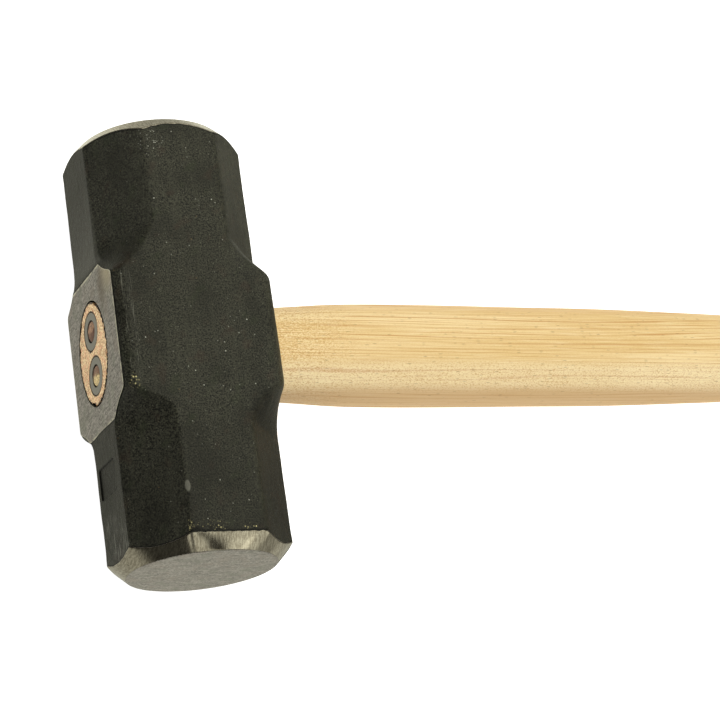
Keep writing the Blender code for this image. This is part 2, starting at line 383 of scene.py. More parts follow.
def head_end(ring, sign_y):
    """Rows from a poll's start over its bevel to the middle of its striking face."""
    x, z = ring[:, 0], ring[:, 2]
    radius = np.hypot(x, z)
    x, z = x / radius, z / radius
    start = np.stack([np.full(len(radius), POLL_START), radius], 1)
    edge_y = HALF_LENGTH - (radius - FACE_RADIUS)
    if sign_y < 0:
        on_cheek = np.clip((ring[:, 2] - HALF_SPAN + 0.0015) / 0.0011, 0, 1)
        edge_y = mix(edge_y, np.minimum(edge_y, WORN_END), on_cheek)
    edge = np.stack([edge_y, radius], 1)
    rim = np.stack([np.full(len(radius), HALF_LENGTH), np.full(len(radius), FACE_RADIUS)], 1)
    middle = np.stack([np.full(len(radius), HALF_LENGTH), np.full(len(radius), 0.0)], 1)
    edge_arc = fillet(start, edge, rim, BEVEL_EDGE_RADIUS)
    rim_arc = fillet(edge, rim, middle, FACE_EDGE_RADIUS)
    profile = rows_between(start, edge_arc[0], 11) + edge_arc
    profile += rows_between(edge_arc[-1], rim_arc[0], 6) + rim_arc
    profile += [mix(rim_arc[-1], middle, share) for share in (0.12, 0.3, 0.5, 0.7, 0.88)]
    return [np.stack([r * x, sign_y * y, r * z], 1) for y, r in (row.T for row in profile)]


def rough_forge(obj):
    """Sinks the forged skin by the shallow waves that dies and scale leave. Machined faces stay true."""
    mesh = obj.data
    count = len(mesh.vertices)
    points = np.empty(count * 3, np.float32)
    normals = np.empty(count * 3, np.float32)
    mesh.vertices.foreach_get("co", points)
    mesh.vertex_normals.foreach_get("vector", normals)
    points = points.reshape(-1, 3).astype(float)
    normals = normals.reshape(-1, 3)
    bevel = (np.hypot(points[:, 0], points[:, 2]) + np.abs(points[:, 1])) - FACE_RADIUS - HALF_LENGTH
    skin = np.clip((-bevel - 0.0008) / FORGING_FADE, 0, 1)
    ground = (points[:, 0] < GROUND_FACE + 0.0003) & (np.abs(points[:, 1]) < RISE_END + MM)
    skin[ground] = 0
    skin[np.abs(points[:, 1]) > HALF_LENGTH - MM] = 0
    upper = points[:, 2] > HALF_SPAN - 0.007
    skin[upper] *= np.clip((points[upper, 1] + WORN_END) / FORGING_FADE, 0, 1)
    depth = np.zeros(count)
    for number, (length, amount) in enumerate(FORGING_WAVES):
        depth += amount * (1 + waves(points, length, seed=11 + number))
    points -= normals * (depth * skin)[:, None]
    mesh.vertices.foreach_set("co", points.astype(np.float32).ravel())
    mesh.update()


def eye_cutter():
    """The eye, with its edges broken a little at both ends."""
    stations = (  # X, and how far the cutter goes beyond the eye there
        (GROUND_FACE - 0.003, 0.0004),
        (GROUND_FACE, 0.0003),
        (GROUND_FACE + 0.0004, 0.0),
        (THROAT_X, 0.0),
        (HAFT_FACE - 0.0003, 0.0),
        (HAFT_FACE + 0.003, 0.0003),
    )
    rows = []
    for x, more in stations:
        half_y, half_z = eye_half_axes(min(max(x, GROUND_FACE), HAFT_FACE))
        rows.append(oval(x, half_y + more, half_z + more, EYE_SEGMENTS))
    return lofted("eye_cutter", rows, None, closed="face")


def rounded_rectangle(x, size, radius, steps=6):
    """A ring of points round a rectangle on the eye side, with round corners."""
    half_y, half_z = size[0] / 2 - radius, size[1] / 2 - radius
    points = []
    for quarter, (sign_y, sign_z) in enumerate(((1, 1), (-1, 1), (-1, -1), (1, -1))):
        for step in range(steps + 1):
            turn = math.pi / 2 * (quarter + step / steps)
            y = STAMP_CENTER[0] + sign_y * half_y + radius * math.cos(turn)
            z = STAMP_CENTER[1] + sign_z * half_z + radius * math.sin(turn)
            points.append((x, y, z))
    return points


def stamp_cutter():
    """The blank stamp: a shallow recess whose walls slope in a little towards its floor."""
    rows = []
    for depth, shrink in ((-0.004, -0.0003), (0.0, -0.0001), (STAMP_DEPTH, 0.0004)):
        size = (STAMP_SIZE[0] - 2 * shrink, STAMP_SIZE[1] - 2 * shrink)
        rows.append(rounded_rectangle(-FLAT + depth, size, 0.0012 - shrink))
    return lofted("stamp_cutter", rows, None, closed="face")


def make_head(material):
    middle = head_middle()
    lower = head_end(middle[0], -1)[::-1]
    upper = head_end(middle[-1], 1)
    head = lofted("forged_head", lower + middle + upper, material)
    rough_forge(head)
    head.data.transform(Matrix.Translation((0, 0, HEAD_AXIS_Z)))
    carve(head, [eye_cutter(), stamp_cutter()])
    settle(head, 38)
    place_on_part(head, "forged_steel", "head")


# ---------------------------------------------------------------- haft and wedge meshes


def smooth_outline(x):
    """Half width and half thickness of the haft at x, on a smooth curve through its outline."""
    outline = np.array(HAFT_OUTLINE)
    slopes = np.gradient(outline[:, 1:], outline[:, 0], axis=0)
    index = int(np.clip(np.searchsorted(outline[:, 0], x) - 1, 0, len(outline) - 2))
    x0, x1 = outline[index, 0], outline[index + 1, 0]
    wide = x1 - x0
    t = (x - x0) / wide
    h = (2 * t**3 - 3 * t**2 + 1, t**3 - 2 * t**2 + t, 3 * t**2 - 2 * t**3, t**3 - t**2)
    return (
        h[0] * outline[index, 1:]
        + h[1] * wide * slopes[index]
        + h[2] * outline[index + 1, 1:]
        + h[3] * wide * slopes[index + 1]
    )


def ragged(ring, most, seed):
    """Pulls a ring of the haft's end in by uneven amounts, as torn end fibres leave it."""
    fibres = 0.5 + 0.5 * waves(ring, 0.0022, seed)
    gouges = np.clip(waves(ring, 0.007, seed + 1) * 2.0 - 0.1, 0, 1)
    inward = most * (0.25 * fibres + 0.75 * gouges * (0.4 + 0.6 * fibres))
    center = np.array([ring[0, 0], 0, HEAD_AXIS_Z])
    away = ring - center
    length = np.linalg.norm(away, axis=1)[:, None]
    return center + away * (1 - inward[:, None] / length)


def haft_rows():
    """Rings of the haft, from its torn end in the eye to its rounded butt."""
    rows = []
    for depth, share in ((0, 1.0), (0.0004, 0.75), (0.0012, 0.35), (0.003, 0.0)):
        x = GROUND_FACE + depth
        half_y, half_z = eye_half_axes(x)
        ring = oval(x, half_y - CLEARANCE, half_z - CLEARANCE, HAFT_SEGMENTS)
        rows.append(ragged(ring, TORN_DEPTH * share, 5))
    for x in (-0.015, THROAT_X, 0.020, HAFT_FACE + CLEARANCE):
        half_y, half_z = eye_half_axes(min(x, HAFT_FACE))
        rows.append(oval(x, half_y - CLEARANCE, half_z - CLEARANCE, HAFT_SEGMENTS))
    first = HAFT_OUTLINE[0][0]
    last = BUTT - BUTT_ROUNDING
    even = np.arange(EVEN_FROM, last, EVEN_STEP)
    stations = np.concatenate([first + np.array([0, 0.0012]), even, [last]])
    for x in stations:
        half_y, half_z = smooth_outline(min(x, HAFT_OUTLINE[-1][0]))
        power = mix(1.0, OVAL_POWER, min(1, (x - first) / OVAL_RUN))
        rows.append(oval(x, half_y, half_z, HAFT_SEGMENTS, power))
    half_y, half_z = HAFT_OUTLINE[-1][1:]
    for turn in range(15, 91, 15):
        inset = BUTT_ROUNDING * (1 - math.cos(math.radians(turn)))
        x = last + BUTT_ROUNDING * math.sin(math.radians(turn))
        rows.append(oval(x, half_y - inset, half_z - inset, HAFT_SEGMENTS, OVAL_POWER))
    return rows


def turned(name, profile, side, material=None):
    """A closed profile of points (depth, radius), spun round a ring wedge's axis."""
    segments = WEDGE_SEGMENTS
    angle = 2 * math.pi * np.arange(segments) / segments
    points = []
    for depth, radius in profile:
        y = side * WEDGE_OFFSET + radius * np.cos(angle)
        z = HEAD_AXIS_Z + radius * np.sin(angle)
        points.append(np.stack([np.full(segments, GROUND_FACE + depth), y, z], 1))
    faces = []
    for j in range(len(profile)):
        for i in range(segments):
            k = (i + 1) % segments
            m = (j + 1) % len(profile)
            faces.append((j * segments + i, j * segments + k, m * segments + k, m * segments + i))
    return mesh_object(name, np.concatenate(points), faces, material)


def groove_cutter(side):
    """Cuts a wedge's groove into the haft's end, and presses the core inside it down a little."""
    profile = (
        (-0.002, NEAR_AXIS),
        (-0.002, WEDGE_OUTER[0] + CLEARANCE),
        (WEDGE_LENGTH + CLEARANCE, WEDGE_OUTER[1] + CLEARANCE),
        (WEDGE_LENGTH + CLEARANCE, WEDGE_INNER[1] - CLEARANCE),
        (0.0005, WEDGE_INNER[0] - CLEARANCE),
        (0.0002, WEDGE_INNER[0] - 0.0009),
        (0.0001, NEAR_AXIS),
    )
    return turned("groove_cutter", profile, side)


def make_haft(material):
    haft = lofted("hickory_haft", haft_rows(), material)
    carve(haft, [groove_cutter(1), groove_cutter(-1)])
    settle(haft, 40)
    place_on_part(haft, "hickory", "haft")


def make_wedges(material):
    outer_top, outer_tip = WEDGE_OUTER
    inner_top, inner_tip = WEDGE_INNER
    soft = WEDGE_SOFTENING
    profile = (
        (soft, inner_top),
        (soft * 0.3, inner_top + soft * 0.3),
        (WEDGE_SUNK, inner_top + soft),
        (WEDGE_SUNK, outer_top - soft),
        (soft * 0.3, outer_top - soft * 0.3),
        (soft, outer_top),
        (WEDGE_LENGTH, outer_tip),
        (WEDGE_LENGTH, inner_tip),
    )
    for name, side in (("upper", 1), ("lower", -1)):
        wedge = turned(f"ring_wedge_{name}", profile, side, material)
        settle(wedge, 40)
        place_on_part(wedge, "wedge_steel", f"{name}_ring_wedge")


# ---------------------------------------------------------------- material tools


class Look:
    """A material's node tree, with short calls for its nodes.

    Places are in millimetres from the eye's centre.
    """

    def __init__(self, name):
        self.material = bpy.data.materials.new(name)
        self.material.use_nodes = True
        self.tree = self.material.node_tree
        self.shader = self.tree.nodes["Principled BSDF"]
        coordinates = self.tree.nodes.new("ShaderNodeTexCoord")
        centered = self.vector("SUBTRACT", coordinates.outputs["Object"], (0, 0, HEAD_AXIS_Z))
        self.at = self.vector("SCALE", centered, scale=1 / MM)
        split = self.tree.nodes.new("ShaderNodeSeparateXYZ")
        self.tree.links.new(self.at, split.inputs[0])
        self.x, self.y, self.z = split.outputs

    def put(self, value, socket):
        if isinstance(value, bpy.types.NodeSocket):
            self.tree.links.new(value, socket)
        else:
            socket.default_value = value

    def feed(self, name, value):
        self.put(value, self.shader.inputs[name])

    def math(self, operation, *values):
        node = self.tree.nodes.new("ShaderNodeMath")
        node.operation = operation
        for value, socket in zip(values, node.inputs):
            self.put(value, socket)
        return node.outputs[0]

    def vector(self, operation, *values, scale=None):
        node = self.tree.nodes.new("ShaderNodeVectorMath")
        node.operation = operation
        for value, socket in zip(values, node.inputs):
            self.put(value, socket)
        if scale is not None:
            node.inputs["Scale"].default_value = scale
        return node.outputs["Value" if operation == "LENGTH" else "Vector"]

    def noise(self, pitch, detail=2.0, roughness=0.5, turn=None):
        """Noise with features of the given size along X, Y and Z, in a frame turned by degrees."""
        at = self.at
        if turn:
            rotate = self.tree.nodes.new("ShaderNodeVectorRotate")
            rotate.rotation_type = "EULER_XYZ"
            rotate.inputs["Rotation"].default_value = [math.radians(angle) for angle in turn]
            self.put(at, rotate.inputs["Vector"])
            at = rotate.outputs[0]
        scaled = self.vector("MULTIPLY", at, tuple(1 / size for size in pitch))
        node = self.tree.nodes.new("ShaderNodeTexNoise")
        node.inputs["Scale"].default_value = 1.0
        node.inputs["Detail"].default_value = detail
        node.inputs["Roughness"].default_value = roughness
        self.put(scaled, node.inputs["Vector"])
        return node.outputs[0]

    def cells(self, pitch):
        """Cells of the given size: the distance to the nearest centre, and two random numbers for each."""
        scaled = self.vector("MULTIPLY", self.at, tuple(1 / size for size in pitch))
        node = self.tree.nodes.new("ShaderNodeTexVoronoi")
        node.inputs["Scale"].default_value = 1.0
        self.put(scaled, node.inputs["Vector"])
        split = self.tree.nodes.new("ShaderNodeSeparateColor")
        self.put(node.outputs["Color"], split.inputs[0])
        return node.outputs["Distance"], split.outputs[0], split.outputs[1]

    def step(self, value, low, high):
        """0 below low, 1 above high, smooth between; with low above high it falls instead."""
        node = self.tree.nodes.new("ShaderNodeMapRange")
        node.interpolation_type = "SMOOTHSTEP"
        node.inputs["From Min"].default_value = low
        node.inputs["From Max"].default_value = high
        self.put(value, node.inputs["Value"])
        return node.outputs[0]

    def spread(self, value, low, high, out_low, out_high):
        """A straight map from one range to another, held at its ends."""
        node = self.tree.nodes.new("ShaderNodeMapRange")
        for socket, number in zip(node.inputs[1:5], (low, high, out_low, out_high)):
            socket.default_value = number
        self.put(value, node.inputs["Value"])
        return node.outputs[0]

    def away(self, value, place):
        """How far a coordinate is, in mm, from a place given in metres."""
        return self.math("ABSOLUTE", self.math("SUBTRACT", value, place / MM))

    def all_of(self, *masks):
        total = masks[0]
        for mask in masks[1:]:
            total = self.math("MULTIPLY", total, mask)
        return total

    def any_of(self, *masks):
        total = masks[0]
        for mask in masks[1:]:
            total = self.math("MAXIMUM", total, mask)
        return total

    def spot(self, center, size, edge):
        """1 inside a blob of half sizes in mm, 0 outside, smooth over an edge of that share of its size."""
        away = self.vector("SUBTRACT", self.at, center)
        away = self.vector("DIVIDE", away, size)
        return self.step(self.vector("LENGTH", away), 1 + edge, 1 - edge)

    def blend(self, share, first, second):
        """A colour between two colours."""
        node = self.tree.nodes.new("ShaderNodeMix")
        node.data_type = "RGBA"
        self.put(share, node.inputs["Factor"])
        for color, socket in ((first, node.inputs["A"]), (second, node.inputs["B"])):
            self.put((*color, 1.0) if isinstance(color, tuple) else color, socket)
        return node.outputs["Result"]

    def wash(self, under, mask, strength, color):
        """A colour laid over what is under it, at some strength where a mask is 1."""
        return self.blend(self.math("MULTIPLY", mask, strength), under, color)

    def between(self, share, first, second):
        """A number between two numbers."""
        node = self.tree.nodes.new("ShaderNodeMix")
        self.put(share, node.inputs["Factor"])
        self.put(first, node.inputs["A"])
        self.put(second, node.inputs["B"])
        return node.outputs["Result"]

    def bump(self, height, depth):
        """Relief from a height of 0 to 1 that stands for a depth in metres."""
        node = self.tree.nodes.new("ShaderNodeBump")
        node.inputs["Strength"].default_value = 1.0
        node.inputs["Distance"].default_value = depth
        self.put(height, node.inputs["Height"])
        return node.outputs[0]


# ---------------------------------------------------------------- materials


def specks(look, pitch, radius, share, where):
    """Small round specks in a share of the cells, of a radius and a pitch in mm. They vary in strength."""
    near, pick, tone = look.cells((pitch, pitch, pitch))
    size = radius / pitch
    return look.all_of(
        look.step(near, size * 1.3, size * 0.7),
        look.step(pick, 1 - share, 1 - share + 0.01),
        look.math("POWER", tone, 1.6),
        where,
    )


def paint_color(look, paint_edge_and_shade):
    """Olive black paint over forge scale: grain, streaks, tints, dust, flecks and scuffs, with painted
    shade and painted highlights laid on by region, and dark edge lines that are partly painted shade.
    """
    cloud = look.noise((16, 22, 16), 3.0)
    streak = look.noise((2.2, 45, 2.2), 2.0)
    grain = look.noise((0.55, 0.6, 0.55), 1.0, 0.6)
    mottle = look.noise((1.9, 2.4, 1.9), 2.0)
    tint = look.noise((7, 10, 7), 2.0, turn=(20, 30, 40))
    paint = look.blend(look.step(grain, 0.34, 0.66), srgb(2, 2, 2), srgb(66, 66, 55))
    paint = look.wash(paint, look.step(mottle, 0.45, 0.7), 0.2, srgb(50, 50, 39))
    paint = look.wash(paint, look.step(streak, 0.5, 0.7), 0.25, srgb(64, 64, 52))
    paint = look.wash(paint, look.step(cloud, 0.55, 0.35), 0.4, srgb(20, 20, 15))
    paint = look.wash(paint, look.step(tint, 0.58, 0.72), 0.22, srgb(62, 44, 34))
    paint = look.wash(paint, look.step(tint, 0.42, 0.28), 0.3, srgb(40, 48, 28))
    fine = specks(look, 0.7, 0.2, 0.35, look.math("MULTIPLY_ADD", cloud, 0.8, 0.1))
    paint = look.blend(fine, paint, srgb(116, 116, 100))

    # Painted shade towards the lower face and the ground face, and painted highlight on the chamfers and on
    # the eye side
    painted_shade = look.any_of(
        look.math("MULTIPLY", look.step(look.y, -25, -62), 0.3),
        look.math("MULTIPLY", look.step(look.x, -6, -27), 0.15),
        look.all_of(look.step(look.x, 13, 18), look.step(look.y, -20, -34), 0.6),
    )
    paint = look.blend(painted_shade, paint, srgb(14, 14, 11))
    painted_highlight = look.any_of(
        look.all_of(look.step(look.x, 13, 19), look.step(look.y, 12, 40), 0.05),
        look.all_of(
            look.step(look.x, -12, -15),
            look.step(look.x, -31.9, -31.2),
            look.step(look.z, 31.8, 31.5),
            look.step(look.math("ABSOLUTE", look.y), 34, 46),
            look.spread(look.y, -20, 20, 0.01, 0.045),
        ),
        look.all_of(
            look.step(look.x, -31.4, -32.2),
            look.step(look.y, 30, 33),
            look.spread(look.y, 36, 66, 0.22, 0.05),
        ),
    )
    paint = look.blend(painted_highlight, paint, srgb(132, 131, 120))

    # Dust and bright flecks, most of them on the upper cheek
    top = look.math("MULTIPLY_ADD", look.step(look.z, 30.8, 31.6), 0.75, 0.25)
    crowd = look.step(look.noise((9, 16, 9), 2.0, turn=(0, 50, 10)), 0.50, 0.60)
    dust = look.any_of(
        specks(look, 1.3, 0.25, 0.13, look.math("MULTIPLY", top, crowd)),
        specks(look, 2.6, 0.26, 0.14, top),
        specks(look, 0.8, 0.22, 0.55, look.spot((-11.9, 76, 32), (5.0, 6.0, 3.0), 0.35)),
    )
    paint = look.blend(dust, paint, srgb(186, 187, 174))
    paint = look.blend(specks(look, 3.2, 0.26, 0.08, 0.6), paint, srgb(104, 84, 52))

    # Light scratches beside the ground face, a blemish, and worn streaks low on the eye side
    scratched = look.step(look.noise((0.35, 12, 0.8), 3.0, 0.6), 0.52, 0.66)
    beside_ground = look.all_of(
        look.step(look.x, -31.2, -30.4),
        look.step(look.x, -26.0, -27.2),
        look.step(look.math("ABSOLUTE", look.y), 24, 17),
        look.step(look.z, 29.5, 30.5),
    )
    worn = look.step(look.noise((3, 7, 1.2), 3.0, 0.6), 0.5, 0.68)
    low_side = look.all_of(look.step(look.x, -32.2, -32.6), look.step(look.y, -60, -70))
    scuff = look.any_of(
        look.all_of(scratched, beside_ground),
        look.spot((-14.3, -63.1, 32), (1.0, 2.2, 1.5), 0.25),
        look.all_of(worn, low_side),
    )
    paint = look.wash(paint, scuff, 0.5, srgb(128, 127, 116))
    chip = look.any_of(
        specks(look, 0.8, 0.32, 0.8, look.spot((-14.9, -78.3, 32), (0.9, 2.6, 2.0), 0.3)),
        specks(look, 0.8, 0.28, 0.5, look.spot((-7.5, -78.8, 32), (5.5, 2.0, 2.0), 0.5)),
        specks(look, 0.9, 0.26, 0.45, look.spot((9.5, -79.2, 32), (3.5, 1.3, 2.0), 0.4)),
        specks(look, 0.9, 0.34, 0.8, look.spot((-29.4, -22, 31), (1.8, 2.6, 2.6), 0.4)),
    )
    paint = look.blend(chip, paint, srgb(222, 210, 150))
    # Dark edge lines, partly the paint's edge and partly painted shade
    return look.blend(paint_edge_and_shade, paint, srgb(9, 9, 7)), grain, mottle


def steel_color(look, bevel, ground):
    """Bare steel: brushed faces, browner turned bevels, and the ground face with slanting marks."""
    brushed = look.noise((6, 0.45, 0.45), 3.0, 0.6)
    turned_marks = look.noise((0.45, 2.5, 2.5), 2.0, 0.6)
    ground_marks = look.noise((0.4, 0.4, 5), 3.0, 0.6, turn=(8, 0, 0))
    grit = look.noise((0.7, 0.7, 0.7), 2.0, 0.6)
    marks = look.between(bevel, look.between(ground, brushed, ground_marks), turned_marks)
    mixed = look.between(look.between(bevel, 0.5, 0.3), marks, grit)
    plain = look.blend(look.step(mixed, 0.4, 0.6), srgb(126, 122, 122), srgb(203, 197, 197))
    tint = look.noise((5, 9, 5), 2.0)
    plain = look.wash(plain, look.step(tint, 0.52, 0.66), 0.4, srgb(166, 154, 148))
    plain = look.wash(plain, look.step(tint, 0.46, 0.34), 0.4, srgb(150, 153, 142))
    browner = look.blend(look.step(mixed, 0.38, 0.62), srgb(146, 139, 127), srgb(186, 180, 168))
    steel = look.blend(bevel, plain, browner)
    return look.blend(specks(look, 3.4, 0.3, 0.12, 0.8), steel, srgb(62, 54, 42)), marks


def forged_steel():
    """The head: painted all over, and bare on the faces, on the turned bevels and round the eye."""
    look = Look("forged_steel")
    x_square = look.math("MULTIPLY", look.x, look.x)
    radius = look.math("SQRT", look.math("MULTIPLY_ADD", look.z, look.z, x_square))
    length = look.math("ABSOLUTE", look.y)
    cone = look.math("SUBTRACT", look.math("ADD", radius, length), (FACE_RADIUS + HALF_LENGTH) / MM)

    # Turned bevels, striking faces, and the worn end of the upper cheek
    wander = look.math("SUBTRACT", look.noise((2.6, 2.6, 2.6), 3.0), 0.5)
    edge = look.math("MULTIPLY_ADD", wander, 0.9, cone)
    straight = look.math("MULTIPLY_ADD", wander, 0.9, look.y)
    face = look.step(length, HALF_LENGTH / MM - 0.25, HALF_LENGTH / MM - 0.1)
    on_top = look.all_of(look.step(look.z, 24, 25), look.step(look.math("ABSOLUTE", look.x), 15.8, 15.0))
    worn_end = look.all_of(look.step(straight, -WORN_END / MM + 0.1, -WORN_END / MM - 0.1), on_top)
    turned_or_worn = look.any_of(look.step(edge, -0.42, -0.27), worn_end)
    bevel = look.all_of(turned_or_worn, look.math("SUBTRACT", 1.0, face))

    # The ground face, which ends in a bowed line below the eye
    ground_x, ground_end = GROUND_FACE / MM, RISE_END / MM
    bow = look.math("MULTIPLY_ADD", look.math("MULTIPLY", look.z, look.z), 0.004, look.y)
    between_ends = look.all_of(
        look.step(look.y, ground_end + 0.1, ground_end - 0.1),
        look.step(bow, -31.1, -30.9),
    )
    ground = look.all_of(look.step(look.x, ground_x + 0.14, ground_x + 0.08), between_ends)
    metal = look.any_of(bevel, face, ground)

    # Dark lines run round and inside the blank stamp's recess, and along the paint where the steel was
    # turned or ground bare: partly the paint's edge, and partly painted shade in the recess and along the
    # edges
    stamp_border = look.math(
        "MAXIMUM",
        look.math("SUBTRACT", look.away(look.y, STAMP_CENTER[0]), STAMP_SIZE[0] / 2 / MM),
        look.math("SUBTRACT", look.away(look.z, STAMP_CENTER[1] - HEAD_AXIS_Z), STAMP_SIZE[1] / 2 / MM),
    )
    paint_edge_and_shade = look.any_of(
        look.step(edge, -0.95, -0.5),
        look.all_of(look.step(straight, -WORN_END / MM + 1.0, -WORN_END / MM + 0.4), on_top),
        look.all_of(look.step(look.x, ground_x + 0.7, ground_x + 0.25), between_ends),
        look.all_of(
            look.step(look.x, ground_x + 0.4, ground_x + 0.2),
            look.any_of(
                look.all_of(
                    look.step(look.y, ground_end + 0.6, ground_end + 0.3),
                    look.step(look.y, 29, 30),
                ),
                look.all_of(look.step(bow, -31.6, -31.3), look.step(bow, -30, -31)),
            ),
        ),
        look.all_of(
            look.step(look.x, -31.0, -31.5),
            look.step(stamp_border, 0.5, 0.2),
            look.spread(stamp_border, -0.5, -0.2, 0.4, 1.0),
        ),
        look.all_of(
            look.spot((-8.5, -80.1, 32), (8.5, 1.5, 2.5), 0.3),
            look.step(look.noise((2.2, 1.4, 2.2), 2.0), 0.42, 0.5),
        ),
    )
    paint, grain, mottle = paint_color(look, paint_edge_and_shade)
    steel, marks = steel_color(look, bevel, ground)
    # Painted shade: a dim band across the ground face where it turns near its upper corner
    painted_band_shade = look.all_of(ground, look.spot((-33, 21, 17), (5, 9, 3.5), 0.7))
    steel = look.wash(steel, painted_band_shade, 0.6, srgb(118, 106, 92))
    # Painted highlight, warm in tone, at the ground face's upper corner
    painted_corner_highlight = look.all_of(ground, look.spot((-33, 27, 25), (5, 9, 6), 0.7))
    steel = look.wash(steel, painted_corner_highlight, 0.6, srgb(214, 198, 168))
    # Painted highlight: a bright glint along the ground face's edges
    painted_edge_glint = look.all_of(
        ground,
        look.any_of(look.step(look.x, ground_x + 0.005, ground_x + 0.04), look.step(look.y, 29.3, 29.8)),
        look.step(wander, -0.16, 0.02),
    )
    steel = look.blend(painted_edge_glint, steel, srgb(240, 236, 220))
    look.feed("Base Color", look.blend(metal, paint, steel))
    look.feed("Metallic", metal)
    painted_rough = look.spread(grain, 0.3, 0.7, 0.36, 0.66)
    steel_rough = look.between(bevel, look.between(face, 0.4, 0.3), 0.17)
    look.feed("Roughness", look.between(metal, painted_rough, steel_rough))
    look.shader.inputs["Specular IOR Level"].default_value = 0.3
    painted_relief = look.math("MULTIPLY_ADD", mottle, 1.4, grain)
    relief = look.between(metal, painted_relief, look.math("MULTIPLY", marks, 0.09))
    look.feed("Normal", look.bump(relief, 0.0002))
    return look.material


def wedge_steel():
    look = Look("wedge_steel")
    grain = look.noise((0.5, 0.5, 0.5), 3.0, 0.6)
    look.feed("Base Color", look.blend(grain, srgb(154, 152, 149), srgb(180, 178, 175)))
    look.shader.inputs["Metallic"].default_value = 1.0
    look.feed("Roughness", look.spread(grain, 0.3, 0.7, 0.32, 0.46))
    look.feed("Normal", look.bump(grain, 0.00003))
    return look.material


def hickory():
    """Pale hickory with fine grain and pores along the haft, and end grain at its two ends."""
    look = Look("hickory")
    broad = look.noise((130, 9, 9), 3.0)
    fibre = look.noise((22, 0.4, 0.4), 3.0, 0.6)
    wood = look.blend(look.step(broad, 0.35, 0.65), srgb(233, 200, 139), srgb(248, 221, 168))
    warp = look.noise((400, 16, 16), 2.0, 0.4)
    layers = look.math("MULTIPLY_ADD", look.z, 0.45, look.math("MULTIPLY_ADD", warp, 20, look.y))
    fade = look.step(look.noise((160, 4, 4), 2.0), 0.28, 0.5)
    for pitch, low, strength in ((2.0, 0.72, 0.9), (0.85, 0.4, 0.5)):
        ring = look.math("SINE", look.math("MULTIPLY", layers, 2 * math.pi / pitch))
        uneven = look.step(look.noise((260, pitch, pitch), 1.0), 0.3, 0.6)
        line = look.all_of(look.step(ring, low, 0.97), fade, uneven, strength)
        wood = look.blend(line, wood, srgb(205, 150, 84))
    wood = look.wash(wood, look.step(fibre, 0.5, 0.7), 0.35, srgb(206, 164, 104))
    wood = look.wash(wood, look.step(fibre, 0.5, 0.3), 0.4, srgb(252, 232, 190))

    # Rough flecks where the haft was sanded across: near the head, and low on its round
    fleck = look.noise((0.75, 0.42, 0.42), 2.0, 0.6)
    low_band = look.all_of(look.step(look.y, -5, -11), look.step(look.y, -20, -17))
    rough_zone = look.any_of(look.step(look.x, 85, 45), look.math("MULTIPLY", low_band, 0.8), 0.15)
    wood = look.wash(wood, low_band, 0.35, srgb(254, 238, 204))
    dark_fleck = look.all_of(look.step(fleck, 0.53, 0.64), rough_zone, 0.7)
    wood = look.blend(dark_fleck, wood, srgb(196, 146, 80))
    light_fleck = look.all_of(look.step(fleck, 0.48, 0.34), rough_zone, 0.6)
    wood = look.blend(light_fleck, wood, srgb(254, 238, 196))
    # Painted shade along the haft's two long sides, heaviest on the lower one
    wood = look.wash(wood, look.step(look.y, 14, 19), 0.35, srgb(230, 184, 134))
    wood = look.wash(wood, look.step(look.y, -15, -19), 0.6, srgb(196, 154, 106))
    near, pick, _ = look.cells((3.6, 0.42, 0.42))
    pore = look.all_of(look.step(near, 0.34, 0.16), look.step(pick, 0.86, 0.9))
    wood = look.wash(wood, pore, 0.6, srgb(146, 102, 54))
    near_eye = look.step(look.x, GROUND_FACE / MM + 1.6, GROUND_FACE / MM + 1.2)
    ends = look.any_of(near_eye, look.step(look.x, BUTT / MM - 0.4, BUTT / MM - 0.2))
    end, pores = end_grain(look)
    look.feed("Base Color", look.blend(ends, wood, end))
    look.feed("Roughness", look.spread(fibre, 0.3, 0.7, 0.42, 0.56))
    relief = look.between(ends, look.math("SUBTRACT", fibre, pore), look.math("MULTIPLY", pores, 2.0))
    look.feed("Normal", look.bump(relief, 0.00005))
    return look.material


